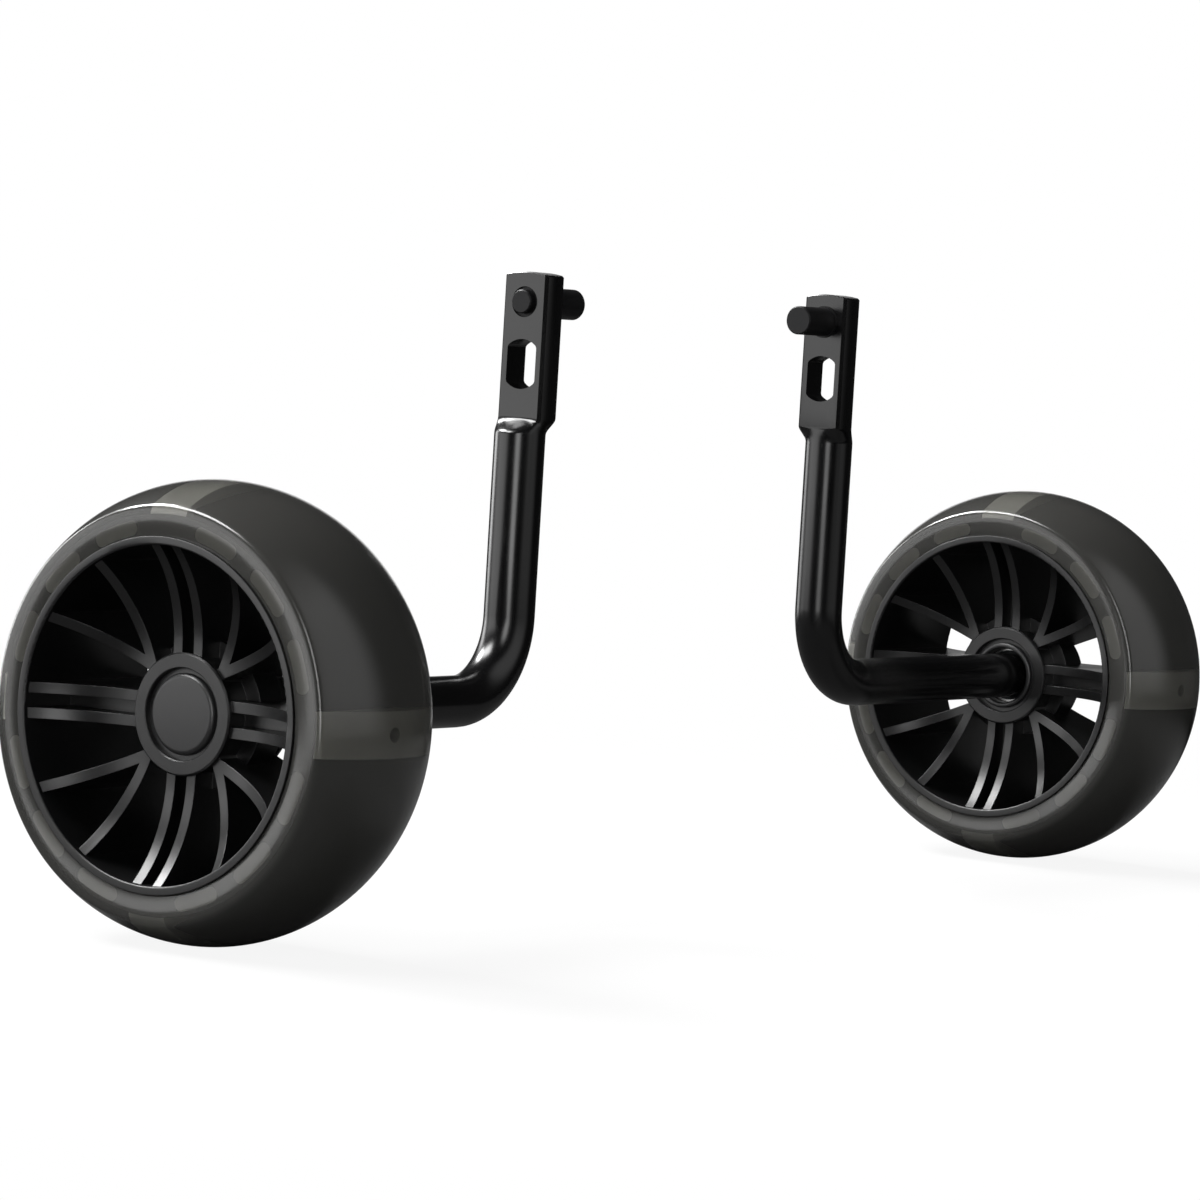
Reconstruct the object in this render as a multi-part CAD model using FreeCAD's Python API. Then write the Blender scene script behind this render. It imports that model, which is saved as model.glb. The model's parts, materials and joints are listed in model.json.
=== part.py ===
import FreeCAD
import Part
import math
import os

# Pair of motorcycle training wheels, left and right alike and mirrored.
# World frame in millimetres: X along the wheel axis from the left wheel to the right one,
# Z up, origin on the ground midway between the wheels.
# Each side is drawn in its own frame first: u along the axle, from the wheel's mid-plane
# towards the motorcycle, and r out from the axle.

V = FreeCAD.Vector
ORIGIN = V(0, 0, 0)
AXLE = V(1, 0, 0)
SIDEWAYS = V(0, 1, 0)

# Layout of the pair
TRACK = 482.0            # between the mid-planes of the two wheels

# Tyre
TYRE_R = 70.0
TREAD_T = 10.5           # urethane over the rim, at the mid-plane
CROWN_R = 48.8           # roundness of the tread from side to side
SHOULDER_U = 26.9        # mid-plane to the corner of tread and sidewall
SHOULDER_FILLET = 2.6
SIDEWALL_U = 27.6        # mid-plane to the sidewall beside the rim lip
LIP_GROOVE = 0.6         # open corner between lip and urethane

# Rim
RIM_WALL = 9.1           # from the open middle to the urethane
LIP_WALL = 2.5
LIP_U = 28.1             # mid-plane to the edge of the lip
LIP_FILLET = 0.6
SIDE_SKIN = 1.8          # urethane over the rim's side
WINDOW_COUNT = 3         # windows through the rim in each quarter
WINDOW_STEP = 25.0       # degrees between them
WINDOW_SPAN = 17.0       # degrees from end to end
WINDOW_FLOOR = 3.5       # rim left inside a window
WINDOW_ROOF = 1.3        # rim left outside it

# Spokes
SPOKE_T = 3.3
TWIN_PITCH = 7.7         # centre to centre of a twin pair
V_ROOT_R = 18.7          # where the two spokes of a V meet
V_HALF_ANGLE = 22.5
DISH_U = 13.4            # mid-plane to the spokes' edge at the hub
DISH_START_R = 20.0      # the edge runs straight up to here, then curves out
DISH_ARC = 42.0
DUCT_WALL = 1.2
DUCT_PLAY = 0.3          # room between the duct wall and the board's edge

# Hub
HUB_U = 15.0
HUB_DISC_R = 18.4
HUB_DISC_BREAK = 0.5
BARREL_R = 17.9
RING_R = 22.8            # stiffening ring in the middle of the hub
RING_U = 5.3
MAGNET_BORE_R = 9.8
CAP_BORE_R = 11.4
RECESS_R = 13.8
RECESS_DEPTH = 3.2
RECESS_BREAK = 0.3

# Bearings, two alike
BEARING_BORE_R = 4.0
BEARING_R = 11.0
BEARING_W = 7.0
INNER_RACE_R = 6.1
OUTER_RACE_R = 9.4       # inside of the outer race
SHIELD_T = 0.5
SHIELD_INSET = 0.25
SHIELD_CLEARANCE = 0.15
BALL_COUNT = 7
BALL_D = 3.96
GROOVE_R = 2.0
CAGE_T = 1.3
CAGE_LIP = 0.9           # mid-plane of the balls to the cage's open edge
CAGE_BACK = 2.6          # and to its closed edge
CAGE_CLEARANCE = 0.05
BEARING_GAP = 5.0        # between the bearings, the length of the sleeve

# Magnet and lights
SLEEVE_R = 6.0
MAGNET_R = 9.2
MAGNET_W = 4.2
COIL_R = 3.3
COIL_START_R = 11.2
COIL_END_R = 20.5
BOARD_T = 1.6
BOARD_W = 11.0
BAR_SINK = 4.5           # depth of a light bar's slot in the rim
BAR_W = 13.6
BAR_U = 25.0             # mid-plane to the end of a light bar
BAR_COVER = 2.6          # urethane over a light bar
BAR_CORNER = 2.0
LED_R = 2.0
LED_HOLE_R = 2.2
LED_LENGTH = 4.4

# Cap and dust ring
CAP_U = 14.8             # mid-plane to the outside of the cap
CAP_FLANGE_T = 1.2
CAP_TOP_R = 12.3
CAP_ROUND = 1.6
CAP_WALL = 1.6
CAP_SKIRT = 1.4
CAP_INSIDE_R = 10.3
DUST_ROUND = 0.9

# Spindle and its fastening
SPINDLE_STEP_R = 5.8
SPINDLE_STEP = 1.2
SPINDLE_END = 1.3        # past the retaining ring
SPINDLE_CHAMFER = 0.5
WASHER_R = 6.1
WASHER_T = 1.0
CLIP_GROOVE_R = 3.6
CLIP_R = 6.0
CLIP_T = 0.8
CLIP_GAP = 4.0           # open mouth of the retaining ring

# Arm
BAR_D = 16.7
REACH = 147.5            # wheel mid-plane to the middle of the upright
BEND_R = 27.0            # to the middle of the bar
BAR_END_CHAMFER = 1.0
FLAT_T = 10.1
FLAT_W = 18.1
FLAT_BULGE = 0.5         # forging leaves the narrow sides slightly round
FLAT_CHAMFER = 1.0
FLAT_TOP = 138.6         # above the axle
FLAT_BELOW_HOLE = 17.0   # from the axle hole down to the neck
FLAT_ARCH_R = 37.0
NECK = 5.6               # height of the change from flat to round
NECK_STEPS = 6
TOP_BREAK = 0.4          # broken edge round the arched top

# Holes in the flat end, and its pin
PIN_BELOW_TOP = 9.8      # pin axis below the top of the arm
HOLE_BELOW_PIN = 20.1    # axle hole below the pin axis
AXLE_HOLE_R = 8.1
AXLE_HOLE_FLATS = 11.4   # across the two flats
AXLE_HOLE_CORNER = 1.6   # rounding where a flat meets an end
PIN_R = 5.0
PIN_OUT = 17.0           # stands out towards the motorcycle
PIN_CHAMFER = 0.4
PIN_COLLAR_R = 5.6
PIN_COLLAR = 0.6         # thickness of the collar that seats on the face
STUB_R = 3.85
STUB_OUT = 2.0
STUB_SHOULDER = 0.8      # the pin's shoulder lies this far inside the hole

# How far a cutting shape runs past what it cuts, or a joined one into what it joins
OVERRUN = 1.0

# Places that follow from the sizes above
RIM_R = TYRE_R - TREAD_T
OPENING_R = RIM_R - RIM_WALL
WINDOW_INNER_R = OPENING_R + WINDOW_FLOOR
WINDOW_OUTER_R = RIM_R - WINDOW_ROOF
BAR_BOTTOM_R = RIM_R - BAR_SINK
DUCT_U = BOARD_W / 2 + DUCT_PLAY
PIN_Z = FLAT_TOP - PIN_BELOW_TOP
AXLE_HOLE_Z = PIN_Z - HOLE_BELOW_PIN
FLAT_BOTTOM = AXLE_HOLE_Z - FLAT_BELOW_HOLE
BAR_R = BAR_D / 2
LIP_R = OPENING_R + LIP_WALL
RIM_U = SIDEWALL_U - SIDE_SKIN
BEARING_INNER_U = BEARING_GAP / 2
BEARING_OUTER_U = BEARING_INNER_U + BEARING_W
RECESS_U = HUB_U - RECESS_DEPTH
CLIP_U = BEARING_OUTER_U + WASHER_T
QUARTERS = (0, 90, 180, 270)


def turned(corners):
    """Solid turned about the axle from (u, r) corners."""
    points = [V(u, 0, r) for u, r in corners]
    face = Part.Face(Part.makePolygon(points + points[:1]))
    return face.revolve(ORIGIN, AXLE, 360)


def tube(inner_r, outer_r, u0, u1):
    """Tube round the axle from u0 to u1."""
    outer = Part.makeCylinder(outer_r, u1 - u0, V(u0, 0, 0), AXLE)
    inner = Part.makeCylinder(inner_r, u1 - u0, V(u0, 0, 0), AXLE)
    return outer.cut(inner)


def block(u_half, y_half, z0, z1, y_mid=0.0):
    """Block centred on the mid-plane, standing out from the axle along Z."""
    return Part.makeBox(2 * u_half, 2 * y_half, z1 - z0, V(-u_half, y_mid - y_half, z0))


def turned_to(shape, degrees):
    """Copy of a shape turned about the axle."""
    copy = shape.copy()
    copy.rotate(ORIGIN, AXLE, degrees)
    return copy


def round_array(shape, angles=QUARTERS):
    """Copies of a shape about the axle, as a list."""
    return [turned_to(shape, angle) for angle in angles]


def circle_edges(shape, radius, u):
    """Edges that are circles round the axle, of one radius and place."""
    found = []
    for edge in shape.Edges:
        box = edge.BoundBox
        flat = abs(box.XMax - u) < 0.01 and abs(box.XMin - u) < 0.01
        if flat and abs(box.ZMax - radius) < 0.01:
            found.append(edge)
    return found


def crown_r(u, cover=0.0):
    """Radius of the tread, less a cover, at a distance from the mid-plane."""
    radius = CROWN_R - cover
    return TYRE_R - CROWN_R + math.sqrt(radius * radius - u * u)


def crowned(u_end, bottom_r, side_u, cover=0.0):
    """Face in the (u, r) plane with the tread's crown as its top."""
    top_r = crown_r(u_end, cover)
    middle = V(0, 0, crown_r(0, cover))
    left = V(-u_end, 0, top_r)
    right = V(u_end, 0, top_r)
    low_left = V(-side_u, 0, bottom_r)
    low_right = V(side_u, 0, bottom_r)
    edges = [Part.Arc(left, middle, right).toShape()]
    edges.append(Part.makeLine(right, low_right))
    edges.append(Part.makeLine(low_right, low_left))
    edges.append(Part.makeLine(low_left, left))
    return Part.Face(Part.Wire(edges))


def hub():
    """Hub barrel with its two discs and the stiffening ring, bored later."""
    half = [(0, RING_R), (RING_U, RING_R), (RING_U, BARREL_R), (DISH_U, BARREL_R), (DISH_U, HUB_DISC_R),
            (HUB_U - HUB_DISC_BREAK, HUB_DISC_R), (HUB_U, HUB_DISC_R - HUB_DISC_BREAK), (HUB_U, 0)]
    other = [(-u, r) for u, r in reversed(half[1:])]
    return turned(half + other)


def hub_bore():
    """Everything cut along the axle: magnet bore, bearing seats, cap bores and recesses."""
    half = [(0, MAGNET_BORE_R), (BEARING_INNER_U, MAGNET_BORE_R), (BEARING_INNER_U, BEARING_R),
            (BEARING_OUTER_U, BEARING_R), (BEARING_OUTER_U, CAP_BORE_R), (RECESS_U, CAP_BORE_R),
            (RECESS_U, RECESS_R), (HUB_U - RECESS_BREAK, RECESS_R),
            (HUB_U + OVERRUN, RECESS_R + RECESS_BREAK + OVERRUN), (HUB_U + OVERRUN, 0)]
    other = [(-u, r) for u, r in reversed(half[1:])]
    return turned(half + other)


def dish():
    """The space between the two dished faces that all spokes follow."""
    tip_r = OPENING_R + LIP_WALL / 2
    root_r = BARREL_R - OVERRUN
    rise = tip_r - DISH_START_R
    tip_u = DISH_U + DISH_ARC - math.sqrt(DISH_ARC ** 2 - rise ** 2)
    half_u = DISH_U + DISH_ARC - math.sqrt(DISH_ARC ** 2 - (rise / 2) ** 2)
    half_r = DISH_START_R + rise / 2
    edges = []
    for side in (-1, 1):
        root = V(side * DISH_U, 0, root_r)
        start = V(side * DISH_U, 0, DISH_START_R)
        edges.append(Part.makeLine(root, start))
        edges.append(Part.Arc(start, V(side * half_u, 0, half_r), V(side * tip_u, 0, tip_r)).toShape())
    edges.append(Part.makeLine(V(-tip_u, 0, tip_r), V(tip_u, 0, tip_r)))
    edges.append(Part.makeLine(V(-DISH_U, 0, root_r), V(DISH_U, 0, root_r)))
    wire = Part.Wire(Part.__sortEdges__(edges))
    return Part.Face(wire).revolve(ORIGIN, AXLE, 360)


def spokes():
    """Four twin pairs and four Vs, all as full-depth blades between the dished faces."""
    blades = []
    reach = OPENING_R + LIP_WALL
    for side in (-1, 1):
        twin = block(LIP_U, SPOKE_T / 2, BARREL_R - 2 * OVERRUN, reach, side * TWIN_PITCH / 2)
        blades += round_array(twin)
        vee = block(LIP_U, SPOKE_T / 2, V_ROOT_R - 2 * OVERRUN, reach + SPOKE_T)
        vee.rotate(V(0, 0, V_ROOT_R), AXLE, side * V_HALF_ANGLE)
        blades += round_array(vee, [angle + 45 for angle in QUARTERS])
    plan = blades[0].multiFuse(blades[1:])
    return plan.common(dish())


def duct_walls():
    """Thin walls that close the space between twin spokes into a wire duct."""
    wall = block(DUCT_WALL / 2, TWIN_PITCH / 2, BARREL_R - OVERRUN, OPENING_R + LIP_WALL / 2)
    walls = []
    for side in (-1, 1):
        moved = wall.copy()
        moved.translate(V(side * (DUCT_U + DUCT_WALL / 2), 0, 0))
        walls += round_array(moved)
    return walls


def rim():
    """Rim ring with a standing lip on each side."""
    half = [(0, RIM_R), (RIM_U, RIM_R), (RIM_U, LIP_R), (LIP_U, LIP_R), (LIP_U, OPENING_R)]
    other = [(-u, r) for u, r in reversed(half[1:])]
    ring = turned(half + other)
    edges = circle_edges(ring, OPENING_R, LIP_U) + circle_edges(ring, OPENING_R, -LIP_U)
    return ring.makeFillet(LIP_FILLET, edges)


def rim_window(degrees):
    """Long window with round ends that the urethane fills, cut through from side to side."""
    middle_r = (WINDOW_INNER_R + WINDOW_OUTER_R) / 2
    end_r = (WINDOW_OUTER_R - WINDOW_INNER_R) / 2
    half = math.radians(WINDOW_SPAN / 2) - end_r / middle_r

    def spot(radius, angle):
        return V(-RIM_U - OVERRUN, radius * math.sin(angle), radius * math.cos(angle))

    def end(side):
        tip = spot(middle_r, side * (half + end_r / middle_r))
        return Part.Arc(spot(WINDOW_INNER_R, side * half), tip, spot(WINDOW_OUTER_R, side * half)).toShape()

    outer = Part.Arc(spot(WINDOW_OUTER_R, -half), spot(WINDOW_OUTER_R, 0), spot(WINDOW_OUTER_R, half))
    inner = Part.Arc(spot(WINDOW_INNER_R, -half), spot(WINDOW_INNER_R, 0), spot(WINDOW_INNER_R, half))
    edges = [outer.toShape(), inner.toShape(), end(-1), end(1)]
    face = Part.Face(Part.Wire(Part.__sortEdges__(edges)))
    return turned_to(face.extrude(AXLE * (2 * RIM_U + 2 * OVERRUN)), degrees)


def rim_windows():
    """Every window of the rim."""
    middle = (WINDOW_COUNT - 1) / 2
    angles = []
    for quarter in QUARTERS:
        angles += [quarter + 45 + (i - middle) * WINDOW_STEP for i in range(WINDOW_COUNT)]
    return [rim_window(angle) for angle in angles]


def light_bar_body():
    """Outside of one light bar, under the tread and following its crown."""
    face = crowned(BAR_U, BAR_BOTTOM_R, BAR_U, BAR_COVER)
    face.translate(V(0, -BAR_W / 2, 0))
    body = face.extrude(SIDEWAYS * BAR_W)
    corners = [e for e in body.Edges if abs(abs(e.CenterOfMass.x) - BAR_U) < 0.01
               and abs(e.CenterOfMass.z - crown_r(BAR_U, BAR_COVER)) < 0.01]
    return body.makeFillet(BAR_CORNER, corners)


def light_board():
    """Strip in the duct between twin spokes, from the coil to the light bar."""
    return block(BOARD_W / 2, BOARD_T / 2, COIL_END_R, BAR_BOTTOM_R)


def core():
    """Spoked core, moulded in one piece."""
    body = hub().multiFuse([spokes(), rim()] + duct_walls())
    coil_pocket = Part.makeCylinder(COIL_R, COIL_END_R, ORIGIN, V(0, 0, 1))
    cuts = [hub_bore()]
    cuts += round_array(coil_pocket) + round_array(light_board())
    cuts += round_array(light_bar_body()) + rim_windows()
    return body.cut(cuts).removeSplitter()


def light_bar():
    """Pale bar across the rim with a hole for its lamp."""
    hole = Part.makeCylinder(LED_HOLE_R, TYRE_R - BAR_BOTTOM_R, V(0, 0, BAR_BOTTOM_R), V(0, 0, 1))
    return light_bar_body().cut(hole)


def light_led():
    """Lamp with a domed end, standing on the end of its board."""
    stem = Part.makeCylinder(LED_R, LED_LENGTH - LED_R, V(0, 0, BAR_BOTTOM_R), V(0, 0, 1))
    dome = Part.makeSphere(LED_R, V(0, 0, BAR_BOTTOM_R + LED_LENGTH - LED_R), V(0, 0, 1), 0, 90, 360)
    return stem.fuse(dome).removeSplitter()


def tyre(core_shape):
    """Urethane cast round the rim: it fills the windows and covers the light bars."""
    face = crowned(SHOULDER_U, LIP_R, SIDEWALL_U)
    ring = face.revolve(ORIGIN, AXLE, 360)
    corner_r = crown_r(SHOULDER_U)
    edges = circle_edges(ring, corner_r, SHOULDER_U) + circle_edges(ring, corner_r, -SHOULDER_U)
    ring = ring.makeFillet(SHOULDER_FILLET, edges)
    edges = circle_edges(ring, LIP_R, SIDEWALL_U) + circle_edges(ring, LIP_R, -SIDEWALL_U)
    ring = ring.makeChamfer(LIP_GROOVE, edges)
    inserts = round_array(light_bar_body()) + round_array(light_board())
    return ring.cut([core_shape] + inserts).removeSplitter()


def hub_cap():
    """Closed cap: a flange in the recess, a skirt in the bore and a rounded crown."""
    outside = [(-RECESS_U - CAP_FLANGE_T, RECESS_R), (-RECESS_U, RECESS_R), (-RECESS_U, CAP_BORE_R),
               (-RECESS_U + CAP_SKIRT, CAP_BORE_R), (-RECESS_U + CAP_SKIRT, CAP_INSIDE_R),
               (-CAP_U + CAP_WALL, CAP_INSIDE_R), (-CAP_U + CAP_WALL, 0), (-CAP_U, 0),
               (-CAP_U, CAP_TOP_R), (-RECESS_U - CAP_FLANGE_T, CAP_TOP_R)]
    cap = turned(outside)
    return cap.makeFillet(CAP_ROUND, circle_edges(cap, CAP_TOP_R, -CAP_U))


def dust_ring():
    """Open ring with a rounded bead, in the inner recess, that the bar passes through."""
    outline = [(RECESS_U + CAP_FLANGE_T, RECESS_R), (RECESS_U, RECESS_R), (RECESS_U, CAP_BORE_R),
               (RECESS_U - CAP_SKIRT, CAP_BORE_R), (RECESS_U - CAP_SKIRT, CAP_INSIDE_R),
               (CAP_U, CAP_INSIDE_R), (CAP_U, CAP_TOP_R), (RECESS_U + CAP_FLANGE_T, CAP_TOP_R)]
    ring = turned(outline)
    edges = circle_edges(ring, CAP_INSIDE_R, CAP_U) + circle_edges(ring, CAP_TOP_R, CAP_U)
    return ring.makeFillet(DUST_ROUND, edges)


def ball_ring(radius, middle, pitch_r):
    """Ring of balls of one radius, as a list."""
    ball = Part.makeSphere(radius, V(middle, 0, pitch_r))
    return round_array(ball, [i * 360 / BALL_COUNT for i in range(BALL_COUNT)])


def bearing(u0):
    """Parts of one shielded ball bearing that starts at u0."""
    u1 = u0 + BEARING_W
    middle = (u0 + u1) / 2
    pitch_r = (INNER_RACE_R + OUTER_RACE_R) / 2
    groove = Part.makeTorus(pitch_r, GROOVE_R, V(middle, 0, 0), AXLE)
    cage = tube(pitch_r - CAGE_T / 2, pitch_r + CAGE_T / 2, middle - CAGE_LIP, middle + CAGE_BACK)
    shields = []
    for start in (u0 + SHIELD_INSET, u1 - SHIELD_INSET - SHIELD_T):
        shields.append(tube(INNER_RACE_R + SHIELD_CLEARANCE, OUTER_RACE_R, start, start + SHIELD_T))
    return {
        "outer_race": tube(OUTER_RACE_R, BEARING_R, u0, u1).cut(groove),
        "inner_race": tube(BEARING_BORE_R, INNER_RACE_R, u0, u1).cut(groove),
        "balls": Part.makeCompound(ball_ring(BALL_D / 2, middle, pitch_r)),
        "cage": cage.cut(ball_ring(BALL_D / 2 + CAGE_CLEARANCE, middle, pitch_r)),
        "shields": Part.makeCompound(shields),
    }


def retaining_ring():
    """Snap ring with an open mouth, in the spindle's groove."""
    ring = tube(CLIP_GROOVE_R, CLIP_R, -CLIP_U - CLIP_T, -CLIP_U)
    mouth = Part.makeBox(CLIP_T, CLIP_GAP, CLIP_R, V(-CLIP_U - CLIP_T, -CLIP_GAP / 2, -CLIP_R))
    return ring.cut(mouth)


def flat_section(height, roundness):
    """Closed outline of the bar at a height, from forged flat (0) to round (1)."""
    half_t = FLAT_T / 2
    half_w = FLAT_W / 2
    side_w = half_w - FLAT_BULGE
    middle_u = REACH + (BAR_R - half_t) * (1 - roundness)
    wide = math.degrees(math.atan2(side_w - FLAT_CHAMFER, half_t))
    narrow = math.degrees(math.atan2(side_w, half_t - FLAT_CHAMFER))
    flat = [((half_t, 0), 0), ((half_t, side_w - FLAT_CHAMFER), wide),
            ((half_t - FLAT_CHAMFER / 2, side_w - FLAT_CHAMFER / 2), (wide + narrow) / 2),
            ((half_t - FLAT_CHAMFER, side_w), narrow), ((0, half_w), 90)]
    quarter = []
    for (u, y), angle in flat:
        circle_u = BAR_R * math.cos(math.radians(angle))
        circle_y = BAR_R * math.sin(math.radians(angle))
        quarter.append((u + (circle_u - u) * roundness, y + (circle_y - y) * roundness))
    half = quarter + [(-u, y) for u, y in reversed(quarter[:-1])]
    whole = half + [(u, -y) for u, y in reversed(half[1:-1])]
    points = [V(middle_u + u, y, height) for u, y in whole]
    corners = [1, 3, 5, 7, 9, 11, 13, 15]
    edges = []
    for start, stop in zip(corners, corners[1:] + [17]):
        first, last = points[start], points[stop % 16]
        between = points[(start + 1) % 16]
        straight = (first + last) * 0.5
        if (between - straight).Length < 1e-6:
            edges.append(Part.makeLine(first, last))
        else:
            edges.append(Part.Arc(first, between, last).toShape())
    return Part.Wire(edges)


def neck():
    """Change from the forged flat to the round bar, easing in and out."""
    sections = []
    for i in range(NECK_STEPS + 1):
        t = i / NECK_STEPS
        eased = t * t * (3 - 2 * t)
        sections.append(flat_section(FLAT_BOTTOM - NECK * t, eased))
    return Part.makeLoft(sections, True, False)


def flat_end():
    """Forged flat end with an arched top, an axle hole with two flats and a pin hole."""
    blank = Part.Face(flat_section(FLAT_BOTTOM, 0)).extrude(V(0, 0, FLAT_TOP - FLAT_BOTTOM))
    outer_u = REACH + BAR_R - FLAT_T
    arch = Part.makeCylinder(FLAT_ARCH_R, 2 * FLAT_T, V(outer_u - FLAT_T / 2, 0, FLAT_TOP - FLAT_ARCH_R), AXLE)
    blank = blank.common(arch)
    arch_drop = FLAT_ARCH_R - math.sqrt(FLAT_ARCH_R ** 2 - (FLAT_W / 2) ** 2)
    top_edges = [e for e in blank.Edges if e.BoundBox.ZMin > FLAT_TOP - arch_drop - TOP_BREAK]
    blank = blank.makeChamfer(TOP_BREAK, top_edges)
    hole = Part.makeCylinder(AXLE_HOLE_R, 2 * FLAT_T, V(outer_u - FLAT_T / 2, 0, AXLE_HOLE_Z), AXLE)
    between = Part.makeBox(2 * FLAT_T, AXLE_HOLE_FLATS, 2 * AXLE_HOLE_R,
                           V(outer_u - FLAT_T / 2, -AXLE_HOLE_FLATS / 2, AXLE_HOLE_Z - AXLE_HOLE_R))
    hole = hole.common(between)
    corners = [e for e in hole.Edges if e.BoundBox.XLength > FLAT_T]
    hole = hole.makeFillet(AXLE_HOLE_CORNER, corners)
    pin_hole = Part.makeCylinder(PIN_R, 2 * FLAT_T, V(outer_u - FLAT_T / 2, 0, PIN_Z), AXLE)
    return blank.cut([hole, pin_hole])


def arm():
    """The whole bar: spindle, leg, bend, upright, neck and flat end in one piece of steel."""
    leg_start = BEARING_OUTER_U + SPINDLE_STEP
    tip = -CLIP_U - CLIP_T - SPINDLE_END
    spindle = turned([
        (tip, 0), (tip, BEARING_BORE_R - SPINDLE_CHAMFER), (tip + SPINDLE_CHAMFER, BEARING_BORE_R),
        (-CLIP_U - CLIP_T, BEARING_BORE_R), (-CLIP_U - CLIP_T, CLIP_GROOVE_R), (-CLIP_U, CLIP_GROOVE_R),
        (-CLIP_U, BEARING_BORE_R), (BEARING_OUTER_U, BEARING_BORE_R), (BEARING_OUTER_U, SPINDLE_STEP_R),
        (leg_start, SPINDLE_STEP_R), (leg_start, BAR_R - BAR_END_CHAMFER),
        (leg_start + BAR_END_CHAMFER, BAR_R), (REACH - BEND_R, BAR_R), (REACH - BEND_R, 0)])
    section = Part.Face(Part.Wire(Part.makeCircle(BAR_R, V(REACH - BEND_R, 0, 0), AXLE)))
    bend = section.revolve(V(REACH - BEND_R, 0, BEND_R), SIDEWAYS * -1, 90)
    upright = Part.makeCylinder(BAR_R, FLAT_BOTTOM - NECK - BEND_R, V(REACH, 0, BEND_R), V(0, 0, 1))
    return spindle.multiFuse([bend, upright, neck(), flat_end()]).removeSplitter()


def locating_pin():
    """Stepped pin pressed into the flat end: long inside, a short riveted stub outside."""
    face_u = REACH + BAR_R
    outer_u = face_u - FLAT_T
    end = face_u + PIN_OUT
    shoulder = outer_u + STUB_SHOULDER
    pin = turned([
        (outer_u - STUB_OUT, 0), (outer_u - STUB_OUT, STUB_R - PIN_CHAMFER),
        (outer_u - STUB_OUT + PIN_CHAMFER, STUB_R), (shoulder, STUB_R), (shoulder, PIN_R),
        (face_u, PIN_R), (face_u, PIN_COLLAR_R), (face_u + PIN_COLLAR, PIN_COLLAR_R),
        (face_u + PIN_COLLAR, PIN_R), (end - PIN_CHAMFER, PIN_R), (end, PIN_R - PIN_CHAMFER), (end, 0)])
    pin.translate(V(0, 0, PIN_Z))
    return pin


def one_side():
    """All the pieces of one side, in the side's own frame."""
    core_shape = core()
    coil = Part.makeCylinder(COIL_R, COIL_END_R - COIL_START_R, V(0, 0, COIL_START_R), V(0, 0, 1))
    pieces = {
        "arm": arm(),
        "locating_pin": locating_pin(),
        "core": core_shape,
        "tyre": tyre(core_shape),
        "light_bars": Part.makeCompound(round_array(light_bar())),
        "light_leds": Part.makeCompound(round_array(light_led())),
        "light_boards": Part.makeCompound(round_array(light_board())),
        "light_coils": Part.makeCompound(round_array(coil)),
        "hub_cap": hub_cap(),
        "dust_ring": dust_ring(),
        "magnet_sleeve": tube(BEARING_BORE_R, SLEEVE_R, -BEARING_INNER_U, BEARING_INNER_U),
        "ring_magnet": tube(SLEEVE_R, MAGNET_R, -MAGNET_W / 2, MAGNET_W / 2),
        "thrust_washer": tube(BEARING_BORE_R, WASHER_R, -CLIP_U, -BEARING_OUTER_U),
        "retaining_ring": retaining_ring(),
    }
    for place, u0 in (("outer", -BEARING_OUTER_U), ("inner", BEARING_INNER_U)):
        for name, shape in bearing(u0).items():
            pieces[place + "_bearing_" + name] = shape
    return pieces


os.makedirs("parts", exist_ok=True)
for piece_name, piece in one_side().items():
    left = piece.copy()
    left.translate(V(-TRACK / 2, 0, TYRE_R))
    right = left.mirror(ORIGIN, AXLE)
    left.exportStep("parts/left_" + piece_name + ".step")
    right.exportStep("parts/right_" + piece_name + ".step")
    print(piece_name, round(piece.Volume, 1), len(piece.Solids), piece.isValid())
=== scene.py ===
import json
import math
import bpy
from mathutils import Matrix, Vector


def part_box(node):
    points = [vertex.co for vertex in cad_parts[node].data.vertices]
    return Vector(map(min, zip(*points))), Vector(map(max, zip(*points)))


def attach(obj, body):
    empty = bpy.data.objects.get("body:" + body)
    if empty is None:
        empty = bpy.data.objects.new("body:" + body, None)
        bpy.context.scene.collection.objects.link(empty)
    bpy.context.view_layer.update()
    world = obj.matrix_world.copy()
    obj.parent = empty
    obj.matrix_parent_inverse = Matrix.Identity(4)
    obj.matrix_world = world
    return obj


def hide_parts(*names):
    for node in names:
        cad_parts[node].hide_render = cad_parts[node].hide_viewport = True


bl_info = {
    "name": "Motorcycle training wheels",
    "version": (1, 0, 0),
    "blender": (4, 5, 0),
    "location": "3D View > Sidebar > Training wheels",
    "description": "Cast tyres, finishes and a plain studio for a pair of motorcycle training wheels",
    "category": "Object",
}

import bpy
from mathutils import Matrix, Vector

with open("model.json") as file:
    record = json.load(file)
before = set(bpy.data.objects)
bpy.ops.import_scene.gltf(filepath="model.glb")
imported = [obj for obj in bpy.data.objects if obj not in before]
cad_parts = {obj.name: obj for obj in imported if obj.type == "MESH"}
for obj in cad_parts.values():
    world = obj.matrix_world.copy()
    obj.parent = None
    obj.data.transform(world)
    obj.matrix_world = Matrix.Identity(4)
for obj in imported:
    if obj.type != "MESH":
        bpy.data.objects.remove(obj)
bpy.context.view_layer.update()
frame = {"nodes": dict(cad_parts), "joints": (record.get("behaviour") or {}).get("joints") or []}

SIDES = ("left", "right")
MM = 0.001
SHARP_ANGLE = 28.0       # degrees past which an edge stays sharp
WELD_DISTANCE = 0.001 * MM
SPINE_RADIUS = 1e-6      # metres, of the circle that carries a tyre's section round the axle
SHOULDER_STEPS = 8
KEY_ARC_STEPS = 16
KEY_END_STEPS = 8
QUARTERS = 4
QUARTER_TURN = math.pi / 2

# Values between which most of a noise texture lies
NOISE_LOW = 0.3
NOISE_HIGH = 0.7

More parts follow.
